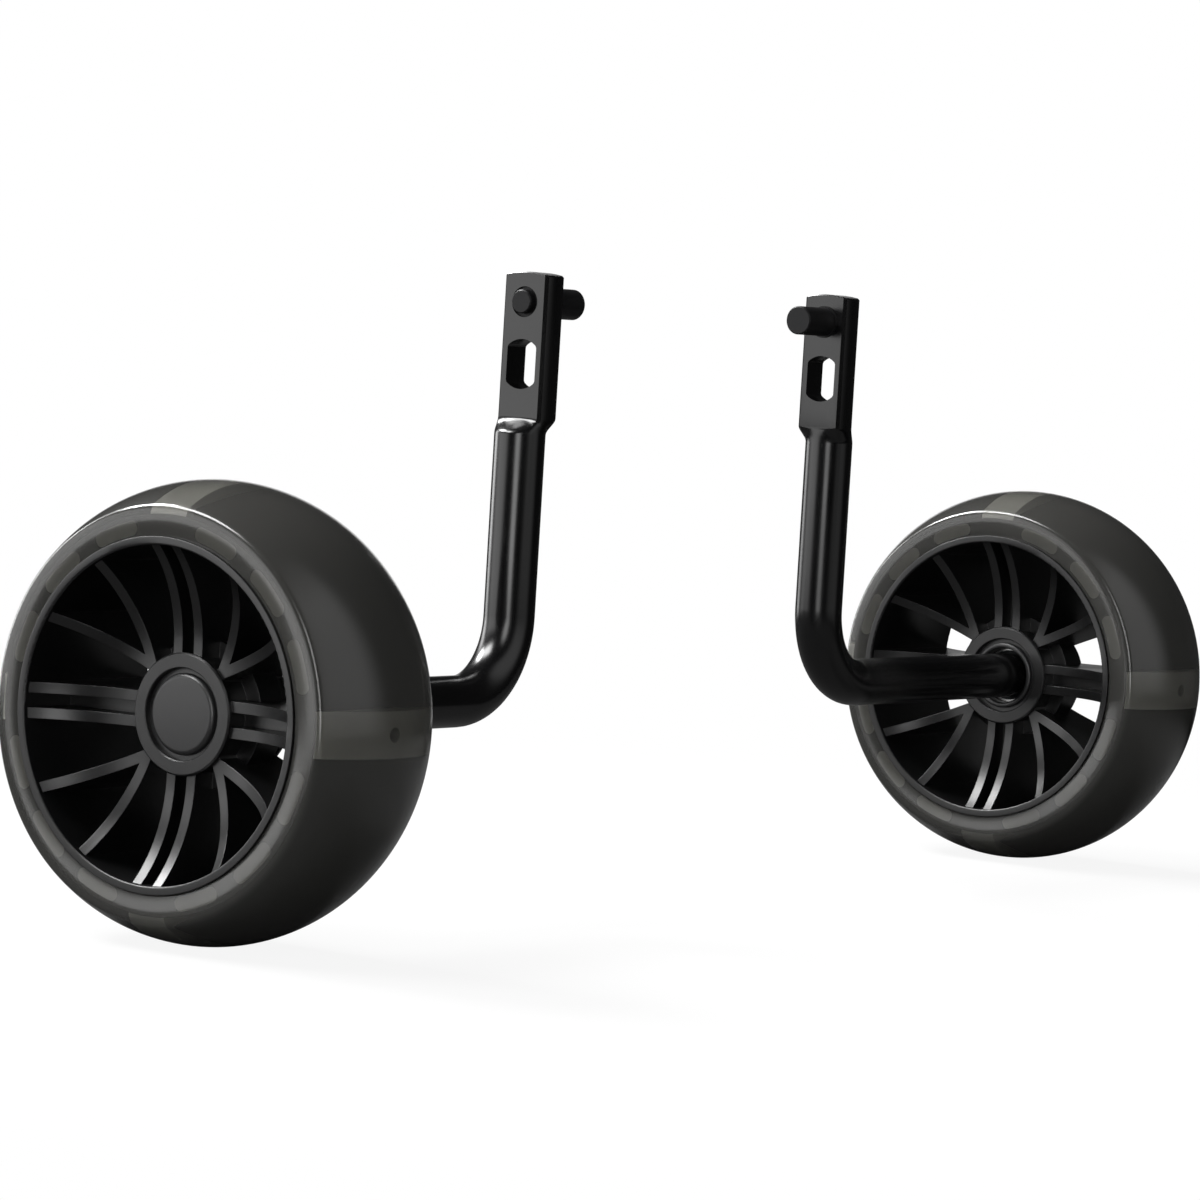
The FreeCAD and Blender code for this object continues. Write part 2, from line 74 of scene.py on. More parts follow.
# The photograph's viewpoint, in metres and degrees
CAMERA_PLACE = Vector((-1.3463, -0.9091, 0.1905))
CAMERA_AZIMUTH = 55.11
CAMERA_BELOW_LEVEL = 3.2
CAMERA_ROLL = -3.45
CAMERA_SENSOR = 36.0
PICTURE_WIDTH = 1200
CAMERA_FOCUS_PIXELS = 4784.0
CAMERA_FAR_END = 50.0

# Softboxes in degrees: turn to the camera's right, rise, half width, half height
PANELS = {
    "side": (-80, 2, 36, 28),
    "overhead": (-82, 53, 34, 14),
    "rim": (-126, 12, 14, 24),
    "edge": (-123, 44, 18, 12),
    "front": (-6, 12, 14, 32),
    "fill": (62, 30, 36, 50),
}
PANEL_CORE = 0.35        # share of a softbox that is evenly bright, inside its soft edges

# How far ahead a direction points, from 0 to 1, where the white backdrop begins and where it is full
GLOSS_BACKDROP = (0.97, 0.995)
CLEAR_BACKDROP = (0.8, 0.97)

# The floor, in metres from its middle
FLOOR_HALF = 0.8
FLOOR_BACKDROP = (0.6, 1.0)
FLOOR_SHADOW_FADE = (0.35, 0.6)
FLOOR_SHADOW_SHARE = 0.1
FLOOR_GREY = 0.8

WHITE = (1.0, 1.0, 1.0, 1.0)


def wheel_centre(side):
    """Middle of a wheel, which is where its joint turns."""
    joint = next(j for j in frame["joints"] if j["name"] == side + "_wheel_spin")
    return Vector(joint["pos_m"])


def linear(hex_colour):
    """An sRGB hex colour as linear red, green and blue."""
    parts = [int(hex_colour[i:i + 2], 16) / 255 for i in (0, 2, 4)]
    return tuple(c / 12.92 if c <= 0.04045 else ((c + 0.055) / 1.055) ** 2.4 for c in parts)


def colour_property(name, description, hex_colour):
    """A colour that a user may change."""
    return bpy.props.FloatVectorProperty(
        name=name, description=description, subtype="COLOR", size=3, min=0.0, max=1.0,
        default=linear(hex_colour))


def length_property(name, description, millimetres):
    """A length that a user may change, written in millimetres."""
    return bpy.props.FloatProperty(
        name=name, description=description, unit="LENGTH", min=0.0, precision=5, default=millimetres * MM)


def angle_property(name, description, degrees):
    """An angle that a user may change, written in degrees."""
    return bpy.props.FloatProperty(
        name=name, description=description, unit="ROTATION", min=0.0, default=math.radians(degrees))


def level_property(name, description, level):
    """A brightness that a user may change."""
    return bpy.props.FloatProperty(name=name, description=description, min=0.0, default=level)


class TyreSizes(bpy.types.PropertyGroup):
    """Sizes of the cast tyre's section"""
    crown_radius: length_property("Crown radius", "Roundness of the tread from side to side", 48.8)
    shoulder_half: length_property("Shoulder", "Mid-plane to the corner of tread and sidewall", 26.9)
    shoulder_round: length_property("Shoulder rounding", "Radius of that corner", 2.6)
    sidewall_half: length_property("Sidewall", "Mid-plane to the sidewall beside the rim lip", 27.6)
    lip_radius: length_property("Lip radius", "Where the sidewall meets the rim lip", 52.9)
    lip_groove: length_property("Lip groove", "Open corner beside the rim lip", 0.6)
    bond_depth: length_property("Bond depth", "How far the urethane keys into the rim", 0.3)
    segments: bpy.props.IntProperty(
        name="Segments", description="Divisions round the tyre", default=192, min=24, max=512)
    crown_steps: bpy.props.IntProperty(
        name="Crown steps", description="Divisions across the tread", default=40, min=8, max=128)


class KeySizes(bpy.types.PropertyGroup):
    """Sizes of the urethane keys cast through the rim's windows"""
    inner_radius: length_property("Inner radius", "Axle to the inside of a key", 53.9)
    outer_radius: length_property("Outer radius", "Axle to the outside of a key", 58.2)
    half_width: length_property("Half width", "Mid-plane to the end of a key", 25.8)
    span: angle_property("Span", "Angle from end to end of a key", 17.0)
    step: angle_property("Step", "Angle between keys of one quarter", 25.0)
    per_quarter: bpy.props.IntProperty(
        name="Keys in a quarter", description="Keys between two light bars", default=3, min=1, max=6)


class Finishes(bpy.types.PropertyGroup):
    """Colours of the pieces"""
    bar: colour_property("Bar coating", "Black coating of the bent bars", "0b0b0c")
    oxide: colour_property("Black oxide", "Oxidised steel of the pins", "232324")
    nylon: colour_property("Filled nylon", "Moulded core of the wheel", "0a0a0b")
    cap: colour_property("Cap plastic", "Hub cap and dust ring", "1e1e1f")
    urethane: colour_property("Urethane", "Surface of the smoked cast urethane", "a6a5a0")
    # The keys are real urethane, but their pale colour is painted glow for light shining through the deep
    # urethane from behind; the urethane itself is smoked and clear
    key: colour_property("Cast key", "Deep, cloudy urethane in the rim's windows", "a8a8a2")
    smoke: colour_property("Smoke", "What is left of light deep in the urethane", "6a6964")
    light_bar: colour_property("Light bar", "Milky plastic of the light bars", "d8d8d2")
    lamp: colour_property("Lamp", "Clear epoxy of the lamps", "3a3a38")
    copper: colour_property("Copper", "Enamelled winding of the coils", "b0663a")
    board: colour_property("Board", "Lacquered boards in the ducts", "16321f")
    steel: colour_property("Bearing steel", "Ground steel of the bearing races", "b9b9b8")
    zinc: colour_property("Zinc", "Plated cages and washers", "a3a5a6")
    black_zinc: colour_property("Black zinc", "Plated shields that close the bearings", "2a2b2c")
    nickel: colour_property("Nickel", "Plated ring magnet", "b5b0a6")
    brass: colour_property("Brass", "Turned sleeve between the bearings", "b59a58")


class Studio(bpy.types.PropertyGroup):
    """Brightness of the softboxes, where the white backdrop is 1"""
    side: level_property("Side light", "Wide softbox at the left, which the hubs and plates face", 1.7)
    overhead: level_property("Overhead light", "Softbox high at the left, which the lower spokes face", 15.0)
    rim: level_property("Rim light", "Softbox behind and to the left", 5.0)
    edge: level_property("Edge light", "Small softbox high at the left, for a tyre's upper edge", 36.0)
    front: level_property("Front light", "Narrow softbox beside the camera", 3.6)
    fill: level_property("Fill light", "Wide dim softbox at the right", 0.6)
    ambient: level_property("Room light", "Even light from all round", 0.02)


def settings(name):
    """One of the property groups of this scene."""
    return getattr(bpy.context.scene, "training_wheel_" + name)


def add_node(tree, kind, inputs=None, **values):
    """Adds a node, sets its values, and sets or links its inputs by name or number."""
    made = tree.nodes.new(kind)
    for key, value in values.items():
        setattr(made, key, value)
    for key, value in (inputs or {}).items():
        if isinstance(value, bpy.types.NodeSocket):
            tree.links.new(value, made.inputs[key])
        else:
            made.inputs[key].default_value = value
    return made


def maths(tree, operation, first, second=0.0):
    """Output of one sum on two values."""
    return add_node(tree, "ShaderNodeMath", {0: first, 1: second}, operation=operation).outputs[0]


def new_material(name, **surface):
    """A material with one principled shader, whose inputs are given with _ for spaces."""
    material = bpy.data.materials.new(name)
    material.use_nodes = True
    tree = material.node_tree
    tree.nodes.clear()
    shader = add_node(tree, "ShaderNodeBsdfPrincipled")
    for key, value in surface.items():
        shader.inputs[key.replace("_", " ")].default_value = value
    output = add_node(tree, "ShaderNodeOutputMaterial")
    tree.links.new(shader.outputs["BSDF"], output.inputs["Surface"])
    return material, tree, shader, output


def rgba(colour):
    """A colour with full opacity."""
    return (*colour, 1.0)


def object_place(tree):
    """Output socket with the place on the piece, in metres."""
    return add_node(tree, "ShaderNodeTexCoord").outputs["Object"]


def speckle(tree, place, size_mm, detail=2.0, roughness=0.5):
    """Noise whose lumps are about a size in millimetres."""
    noise = add_node(tree, "ShaderNodeTexNoise", {
        "Vector": place, "Scale": 1.0 / (size_mm * MM), "Detail": detail, "Roughness": roughness})
    return noise.outputs["Fac"]


def spread(tree, value, low, high):
    """Maps a noise value onto a range."""
    made = add_node(tree, "ShaderNodeMapRange", {
        "Value": value, "From Min": NOISE_LOW, "From Max": NOISE_HIGH, "To Min": low, "To Max": high})
    return made.outputs["Result"]


def tint(tree, colour, value, darker, lighter):
    """A colour that a value from 0 to 1 makes darker or lighter."""
    dark = rgba([c * darker for c in colour])
    light = rgba([min(1.0, c * lighter) for c in colour])
    mix = add_node(tree, "ShaderNodeMix", {0: value, 6: dark, 7: light}, data_type="RGBA")
    return mix.outputs[2]


def bump(tree, height, depth_mm, normal=None):
    """Bump of a depth in millimetres."""
    inputs = {"Height": height, "Distance": depth_mm * MM, "Strength": 1.0}
    if normal is not None:
        inputs["Normal"] = normal
    return add_node(tree, "ShaderNodeBump", inputs).outputs["Normal"]


def bar_coating():
    """Black baked coating over forged steel: sprayed, so it has a faint orange peel and soft reflections."""
    material, tree, shader, _ = new_material("Black baked coating", Roughness=0.2, Specular_IOR_Level=0.7)
    place = object_place(tree)
    peel = speckle(tree, place, 1.6, detail=1.0)
    cloud = speckle(tree, place, 30.0, detail=3.0)
    tree.links.new(tint(tree, settings("finishes").bar, cloud, 0.8, 1.25), shader.inputs["Base Color"])
    tree.links.new(spread(tree, cloud, 0.18, 0.24), shader.inputs["Roughness"])
    tree.links.new(bump(tree, peel, 0.004), shader.inputs["Normal"])
    return material


def pin_oxide():
    """Black oxide on turned steel: satin, with fine rings from the lathe that break up the reflection."""
    material, tree, shader, _ = new_material(
        "Black oxide on turned steel", Metallic=0.55, Roughness=0.42)
    place = object_place(tree)
    grain = speckle(tree, place, 0.5, detail=4.0)
    along = add_node(tree, "ShaderNodeTexWave", {
        "Vector": place, "Scale": 1.0 / (2.2 * MM), "Distortion": 1.5, "Detail": 2.0},
        wave_type="BANDS", bands_direction="X")
    tree.links.new(tint(tree, settings("finishes").oxide, grain, 0.75, 1.3), shader.inputs["Base Color"])
    tree.links.new(spread(tree, grain, 0.36, 0.5), shader.inputs["Roughness"])
    rings = bump(tree, along.outputs["Fac"], 0.004)
    tree.links.new(bump(tree, grain, 0.006, normal=rings), shader.inputs["Normal"])
    return material


def core_nylon():
    """Black glass-filled nylon: fibres at its skin give a fine satin grain with broad highlights."""
    material, tree, shader, _ = new_material("Glass-filled nylon", Roughness=0.34, Specular_IOR_Level=0.9)
    place = object_place(tree)
    grain = speckle(tree, place, 0.35, detail=5.0, roughness=0.65)
    flow = speckle(tree, place, 18.0, detail=2.0)
    tree.links.new(tint(tree, settings("finishes").nylon, grain, 0.7, 1.4), shader.inputs["Base Color"])
    tree.links.new(spread(tree, flow, 0.3, 0.38), shader.inputs["Roughness"])
    edge = add_node(tree, "ShaderNodeBevel", {"Radius": 0.35 * MM}, samples=4)
    tree.links.new(bump(tree, grain, 0.02, normal=edge.outputs["Normal"]), shader.inputs["Normal"])
    return material


def cap_plastic():
    """Black acetal: moulded in an etched tool, so it is evenly dull with a rounded sheen at its edge."""
    material, tree, shader, _ = new_material("Etched black acetal", Roughness=0.4, Specular_IOR_Level=1.0)
    place = object_place(tree)
    grain = speckle(tree, place, 0.45, detail=4.0, roughness=0.6)
    tree.links.new(tint(tree, settings("finishes").cap, grain, 0.8, 1.3), shader.inputs["Base Color"])
    tree.links.new(spread(tree, grain, 0.34, 0.46), shader.inputs["Roughness"])
    tree.links.new(bump(tree, grain, 0.02), shader.inputs["Normal"])
    return material


def smoked_urethane():
    """Smoked cast urethane: clear, so dark only where it is deep, with a satin skin from the mould."""
    finishes = settings("finishes")
    material, tree, shader, output = new_material(
        "Smoked cast urethane", Transmission_Weight=0.88, IOR=1.45, Roughness=0.1,
        Specular_IOR_Level=0.1, Coat_Weight=1.0, Coat_Roughness=0.22, Coat_IOR=1.4)
    place = object_place(tree)
    cloud = speckle(tree, place, 22.0, detail=3.0)
    skin = speckle(tree, place, 0.8, detail=3.0)
    tree.links.new(tint(tree, finishes.urethane, cloud, 0.92, 1.05), shader.inputs["Base Color"])
    tree.links.new(spread(tree, cloud, 0.08, 0.13), shader.inputs["Roughness"])
    tree.links.new(bump(tree, skin, 0.004), shader.inputs["Normal"])
    volume = add_node(tree, "ShaderNodeVolumeAbsorption", {
        "Color": rgba(finishes.smoke), "Density": 52.0})
    tree.links.new(volume.outputs["Volume"], output.inputs["Volume"])
    return material


def painted_glow_urethane():
    """The same urethane where it fills the rim's windows, with a pale colour that is painted glow: it stands
    in for light shining through the deep urethane from behind.
    """
    material, tree, shader, _ = new_material("Urethane keys with painted glow", Roughness=0.5)
    cloud = speckle(tree, object_place(tree), 5.0, detail=3.0)
    tree.links.new(tint(tree, settings("finishes").key, cloud, 0.85, 1.1), shader.inputs["Base Color"])
    return material


def milky_plastic():
    """Milky polycarbonate of the light bars: it glows evenly under the urethane."""
    material, tree, shader, _ = new_material("Milky polycarbonate", Roughness=0.45)
    cloud = speckle(tree, object_place(tree), 6.0, detail=3.0)
    colour = tint(tree, settings("finishes").light_bar, cloud, 0.93, 1.05)
    tree.links.new(colour, shader.inputs["Base Color"])
    return material


def lamp_epoxy():
    """Clear epoxy of a lamp, dark while the wheel stands still."""
    material, tree, shader, _ = new_material("Lamp epoxy", Roughness=0.12, IOR=1.54)
    cloud = speckle(tree, object_place(tree), 2.0, detail=2.0)
    tree.links.new(tint(tree, settings("finishes").lamp, cloud, 0.8, 1.2), shader.inputs["Base Color"])
    return material


def coil_copper():
    """Enamelled copper wire: wound in close layers, so it shows as fine glossy bands."""
    material, tree, shader, _ = new_material("Enamelled copper winding", Metallic=1.0, Roughness=0.3)
    place = object_place(tree)
    turns = add_node(tree, "ShaderNodeTexWave", {"Vector": place, "Scale": 1.0 / (1.0 * MM)},
                     wave_type="RINGS", rings_direction="X")
    colour = tint(tree, settings("finishes").copper, turns.outputs["Fac"], 0.5, 1.1)
    tree.links.new(colour, shader.inputs["Base Color"])
    tree.links.new(bump(tree, turns.outputs["Fac"], 0.06), shader.inputs["Normal"])
    return material


def board_lacquer():
    """Glass laminate board under green lacquer: the weave shows faintly through it."""
    material, tree, shader, _ = new_material("Lacquered laminate", Roughness=0.32)
    place = object_place(tree)
    weave = add_node(tree, "ShaderNodeTexChecker", {"Vector": place, "Scale": 1.0 / (0.5 * MM)})
    colour = tint(tree, settings("finishes").board, weave.outputs["Fac"], 0.85, 1.15)
    tree.links.new(colour, shader.inputs["Base Color"])
    return material


def bright_metal(name, colour, roughness, scratch_mm):
    """Bright metal, finished round its axis: fine streaks stretched along the machining."""
    material, tree, shader, _ = new_material(name, Metallic=1.0, Roughness=roughness)
    place = object_place(tree)
    stretched = add_node(tree, "ShaderNodeMapping", {"Vector": place, "Scale": (6.0, 1.0, 1.0)})
    streaks = speckle(tree, stretched.outputs["Vector"], scratch_mm, detail=4.0)
    tree.links.new(tint(tree, colour, streaks, 0.85, 1.1), shader.inputs["Base Color"])
    tree.links.new(spread(tree, streaks, roughness * 0.7, roughness * 1.3), shader.inputs["Roughness"])
    tree.links.new(bump(tree, streaks, 0.004), shader.inputs["Normal"])
    return material


def smoothing_tree():
    """Geometry nodes that join a CAD node's loose triangles and shade its curves smoothly."""
    name = "Smooth curves and sharp edges"
    if name in bpy.data.node_groups:
        return bpy.data.node_groups[name]
    tree = bpy.data.node_groups.new(name, "GeometryNodeTree")
    tree.interface.new_socket("Mesh", in_out="INPUT", socket_type="NodeSocketGeometry")
    tree.interface.new_socket("Sharp angle", in_out="INPUT", socket_type="NodeSocketFloat")
    tree.interface.new_socket("Smoothed", in_out="OUTPUT", socket_type="NodeSocketGeometry")
    given = add_node(tree, "NodeGroupInput")
    joined = add_node(tree, "GeometryNodeMergeByDistance", {
        "Geometry": given.outputs["Mesh"], "Distance": WELD_DISTANCE})
    smooth = add_node(tree, "GeometryNodeSetShadeSmooth", {"Geometry": joined.outputs["Geometry"]})
    angle = add_node(tree, "GeometryNodeInputMeshEdgeAngle")
    sharp = add_node(tree, "FunctionNodeCompare", {
        0: angle.outputs["Unsigned Angle"], 1: given.outputs["Sharp angle"]}, operation="GREATER_THAN")
    creased = add_node(tree, "GeometryNodeSetShadeSmooth", {
        "Geometry": smooth.outputs["Geometry"], "Selection": sharp.outputs["Result"],
        "Shade Smooth": False}, domain="EDGE")
    add_node(tree, "NodeGroupOutput", {"Smoothed": creased.outputs["Geometry"]})
    return tree


def dress(material, *endings):
    """Gives a material to every CAD node whose name ends so, and shades its curves smoothly."""
    for name, obj in frame["nodes"].items():
        if name.endswith(endings):
            obj.data.materials.clear()
            obj.data.materials.append(material)
            modifier = obj.modifiers.new("Smooth curves", "NODES")
            modifier.node_group = smoothing_tree()
            set_input(modifier, "Sharp angle", math.radians(SHARP_ANGLE))


def tyre_section(sizes):
    """Half of the tyre's section as (distance from mid-plane, radius), from the crown to the bond."""
    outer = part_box("left_tyre")[1].z - wheel_centre("left").z
    centre = outer - sizes.crown_radius

    def crown(u):
        return Vector((u, centre + math.sqrt(sizes.crown_radius ** 2 - u * u)))

    corner = crown(sizes.shoulder_half)
    groove_top = Vector((sizes.sidewall_half, sizes.lip_radius + sizes.lip_groove))
    along_wall = (groove_top - corner).normalized()
    along_crown = (crown(sizes.shoulder_half - 1 * MM) - corner).normalized()
    turn = math.pi - along_wall.angle(along_crown)
    reach = sizes.shoulder_round * math.tan(turn / 2)
    fillet_start = sizes.shoulder_half + along_crown.x * reach
    points = [crown(fillet_start * i / sizes.crown_steps) for i in range(sizes.crown_steps)]
    start = crown(fillet_start)
    end = corner + along_wall * reach
    for i in range(SHOULDER_STEPS + 1):
        t = i / SHOULDER_STEPS
        points.append(start * (1 - t) ** 2 + corner * 2 * t * (1 - t) + end * t * t)
    points.append(groove_top)
    points.append(Vector((sizes.sidewall_half - sizes.lip_groove, sizes.lip_radius)))
    points.append(Vector((sizes.sidewall_half - sizes.lip_groove, sizes.lip_radius - sizes.bond_depth)))
    return points


def closed_line(name, places):
    """Closed flat curve through places in the XY plane."""
    curve = bpy.data.curves.new(name, "CURVE")
    curve.dimensions = "2D"
    curve.fill_mode = "NONE"
    line = curve.splines.new("POLY")
    line.points.add(len(places) - 1)
    for point, (x, y) in zip(line.points, places):
        point.co = (x, y, 0, 1)
    line.use_cyclic_u = True
    obj = bpy.data.objects.new(name, curve)
    bpy.context.scene.collection.objects.link(obj)
    return obj


def section_curve(sizes):
    """Closed curve of the whole section, with its radius along X and the axle along Y."""
    half = tyre_section(sizes)
    whole = half + [Vector((-p.x, p.y)) for p in reversed(half[1:])]
    return closed_line("tyre_section", [(place.y, place.x) for place in whole])


def casting_tree(material):
    """Geometry nodes that sweep a section round the axle and set it in its place."""
    tree = bpy.data.node_groups.new("Cast round the axle", "GeometryNodeTree")
    tree.interface.new_socket("Section", in_out="INPUT", socket_type="NodeSocketGeometry")
    tree.interface.new_socket("Segments", in_out="INPUT", socket_type="NodeSocketInt")
    tree.interface.new_socket("Centre", in_out="INPUT", socket_type="NodeSocketVector")
    tree.interface.new_socket("Tyre", in_out="OUTPUT", socket_type="NodeSocketGeometry")
    given = add_node(tree, "NodeGroupInput")
    circle = add_node(tree, "GeometryNodeCurvePrimitiveCircle", {
        "Resolution": given.outputs["Segments"], "Radius": SPINE_RADIUS})
    swept = add_node(tree, "GeometryNodeCurveToMesh", {
        "Curve": circle.outputs["Curve"], "Profile Curve": given.outputs["Section"]})
    placed = add_node(tree, "GeometryNodeTransform", {
        "Geometry": swept.outputs["Mesh"], "Translation": given.outputs["Centre"],
        "Rotation": (0.0, QUARTER_TURN, 0.0)})
    smooth = add_node(tree, "GeometryNodeSetShadeSmooth", {"Geometry": placed.outputs["Geometry"]})
    real = add_node(tree, "GeometryNodeRealizeInstances", {"Geometry": smooth.outputs["Geometry"]})
    finished = add_node(tree, "GeometryNodeSetMaterial", {
        "Geometry": real.outputs["Geometry"], "Material": material})
    add_node(tree, "NodeGroupOutput", {"Tyre": finished.outputs["Geometry"]})
    return tree


def key_outline(sizes):
    """Closed curve round one key, seen along the axle: a stretch of ring with round ends."""
    middle = (sizes.inner_radius + sizes.outer_radius) / 2
    end = (sizes.outer_radius - sizes.inner_radius) / 2
    half = sizes.span / 2 - end / middle
    places = []
    for radius, side in ((sizes.outer_radius, 1), (sizes.inner_radius, -1)):
        for i in range(KEY_ARC_STEPS + 1):
            angle = side * half * (2 * i / KEY_ARC_STEPS - 1)
            places.append((radius * math.sin(angle), radius * math.cos(angle)))
        centre = Vector((middle * math.sin(side * half), middle * math.cos(side * half)))
        for i in range(1, KEY_END_STEPS):
            turn = side * half + math.pi * i / KEY_END_STEPS + (0 if side > 0 else math.pi)
            places.append((centre.x + end * math.sin(turn), centre.y + end * math.cos(turn)))
    return closed_line("key_outline", places)


def keys_tree(material):
    """Geometry nodes that raise one key from its outline and repeat it round the rim."""
    tree = bpy.data.node_groups.new("Keys round the rim", "GeometryNodeTree")
    tree.interface.new_socket("Outline", in_out="INPUT", socket_type="NodeSocketGeometry")
    tree.interface.new_socket("Half width", in_out="INPUT", socket_type="NodeSocketFloat")
    tree.interface.new_socket("Keys in a quarter", in_out="INPUT", socket_type="NodeSocketInt")
    tree.interface.new_socket("Step", in_out="INPUT", socket_type="NodeSocketFloat")
    tree.interface.new_socket("Centre", in_out="INPUT", socket_type="NodeSocketVector")
    tree.interface.new_socket("Keys", in_out="OUTPUT", socket_type="NodeSocketGeometry")
    given = add_node(tree, "NodeGroupInput")
    face = add_node(tree, "GeometryNodeFillCurve", {"Curve": given.outputs["Outline"]}, mode="NGONS")
    depth = maths(tree, "MULTIPLY", given.outputs["Half width"], 2.0)
    up = add_node(tree, "ShaderNodeCombineXYZ", {"Z": depth})
    raised = add_node(tree, "GeometryNodeExtrudeMesh", {
        "Mesh": face.outputs["Mesh"], "Offset": up.outputs["Vector"], "Individual": False})
    under = add_node(tree, "GeometryNodeFlipFaces", {"Mesh": face.outputs["Mesh"]})
    shell = add_node(tree, "GeometryNodeJoinGeometry", {"Geometry": raised.outputs["Mesh"]})
    tree.links.new(under.outputs["Mesh"], shell.inputs["Geometry"])
    closed = add_node(tree, "GeometryNodeMergeByDistance", {
        "Geometry": shell.outputs["Geometry"], "Distance": WELD_DISTANCE})
    below = maths(tree, "MULTIPLY", given.outputs["Half width"], -1.0)
    drop = add_node(tree, "ShaderNodeCombineXYZ", {"Z": below})
    centred = add_node(tree, "GeometryNodeTransform", {
        "Geometry": closed.outputs["Geometry"], "Translation": drop.outputs["Vector"]})
    per_quarter = given.outputs["Keys in a quarter"]
    spots = add_node(tree, "GeometryNodePoints", {"Count": maths(tree, "MULTIPLY", per_quarter, QUARTERS)})
    index = add_node(tree, "GeometryNodeInputIndex").outputs["Index"]
    quarter = maths(tree, "FLOOR", maths(tree, "DIVIDE", index, per_quarter))
    in_quarter = maths(tree, "SUBTRACT", index, maths(tree, "MULTIPLY", quarter, per_quarter))
    middle = maths(tree, "DIVIDE", maths(tree, "SUBTRACT", per_quarter, 1.0), 2.0)
    from_middle = maths(tree, "SUBTRACT", in_quarter, middle)
    quarter_middle = maths(tree, "MULTIPLY", maths(tree, "ADD", quarter, 0.5), QUARTER_TURN)
    angle = maths(tree, "ADD", quarter_middle, maths(tree, "MULTIPLY", from_middle, given.outputs["Step"]))
    turn = add_node(tree, "ShaderNodeCombineXYZ", {"Z": angle})
    ring = add_node(tree, "GeometryNodeInstanceOnPoints", {
        "Points": spots.outputs["Points"], "Instance": centred.outputs["Geometry"],
        "Rotation": turn.outputs["Vector"]})
    placed = add_node(tree, "GeometryNodeTransform", {
        "Geometry": ring.outputs["Instances"], "Translation": given.outputs["Centre"],
        "Rotation": (0.0, QUARTER_TURN, 0.0)})
    real = add_node(tree, "GeometryNodeRealizeInstances", {"Geometry": placed.outputs["Geometry"]})
    finished = add_node(tree, "GeometryNodeSetMaterial", {
        "Geometry": real.outputs["Geometry"], "Material": material})
    add_node(tree, "NodeGroupOutput", {"Keys": finished.outputs["Geometry"]})
    return tree


def set_input(modifier, name, value):
    """Sets a geometry nodes input by the name of its socket."""
    sockets = modifier.node_group.interface.items_tree
    identifier = next(s.identifier for s in sockets if s.name == name and s.in_out == "INPUT")
    modifier[identifier] = value


def baked(obj, name):
    """A plain mesh object made from what an object's modifiers give."""
    bpy.context.view_layer.update()
    evaluated = obj.evaluated_get(bpy.context.evaluated_depsgraph_get())
    mesh = bpy.data.meshes.new_from_object(evaluated)
    mesh.name = name
    made = bpy.data.objects.new(name, mesh)
    bpy.context.scene.collection.objects.link(made)
    return made


def remove_object(obj):
    """Takes a helper object and its curve out of the file."""
    data = obj.data
    bpy.data.objects.remove(obj)
    bpy.data.curves.remove(data)


class TRAININGWHEEL_OT_tyres(bpy.types.Operator):
    """Cast both tyres round their rims"""
    bl_idname = "training_wheel.tyres"
    bl_label = "Cast tyres"

    def execute(self, context):
        sizes = settings("tyre")
        tree = casting_tree(smoked_urethane())
        for side in SIDES:
            section = section_curve(sizes)
            modifier = section.modifiers.new("Casting", "NODES")
            modifier.node_group = tree
            set_input(modifier, "Segments", sizes.segments)
            set_input(modifier, "Centre", wheel_centre(side))
            tyre = baked(section, side + "_cast_tyre")
            remove_object(section)
            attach(tyre, side + "_wheel")
            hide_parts(side + "_tyre")
        return {"FINISHED"}


class TRAININGWHEEL_OT_keys(bpy.types.Operator):
    """Fill the rims' windows with urethane keys whose pale colour is painted glow of light shining through
    """
    bl_idname = "training_wheel.keys"
    bl_label = "Cast keys"

    def execute(self, context):
        sizes = settings("key")
        tree = keys_tree(painted_glow_urethane())
        for side in SIDES:
            outline = key_outline(sizes)
            modifier = outline.modifiers.new("Keys", "NODES")
            modifier.node_group = tree
            set_input(modifier, "Half width", sizes.half_width)
            set_input(modifier, "Keys in a quarter", sizes.per_quarter)
            set_input(modifier, "Step", sizes.step)
            set_input(modifier, "Centre", wheel_centre(side))
            keys = baked(outline, side + "_cast_keys")
            remove_object(outline)
            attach(keys, side + "_wheel")
        return {"FINISHED"}


class TRAININGWHEEL_OT_arms(bpy.types.Operator):
    """Coat both bent bars"""
    bl_idname = "training_wheel.arms"
    bl_label = "Coat bars"

    def execute(self, context):
        dress(bar_coating(), "_arm")
        return {"FINISHED"}


class TRAININGWHEEL_OT_pins(bpy.types.Operator):
    """Blacken the pins and the retaining rings"""
    bl_idname = "training_wheel.pins"
    bl_label = "Blacken pins"

    def execute(self, context):
        dress(pin_oxide(), "_locating_pin", "_retaining_ring")
        return {"FINISHED"}


class TRAININGWHEEL_OT_cores(bpy.types.Operator):
    """Give the spoked cores their moulded grain"""
    bl_idname = "training_wheel.cores"
    bl_label = "Finish cores"

    def execute(self, context):
        dress(core_nylon(), "_core")
        return {"FINISHED"}


class TRAININGWHEEL_OT_caps(bpy.types.Operator):
    """Finish the hub caps and dust rings"""
    bl_idname = "training_wheel.caps"
    bl_label = "Finish caps"

    def execute(self, context):
        dress(cap_plastic(), "_hub_cap", "_dust_ring")
        return {"FINISHED"}


class TRAININGWHEEL_OT_lights(bpy.types.Operator):
    """Finish the light bars, lamps, boards and coils"""
    bl_idname = "training_wheel.lights"
    bl_label = "Finish lights"

    def execute(self, context):
        dress(milky_plastic(), "_light_bars")
        dress(lamp_epoxy(), "_light_leds")
        dress(board_lacquer(), "_light_boards")
        dress(coil_copper(), "_light_coils")
        return {"FINISHED"}


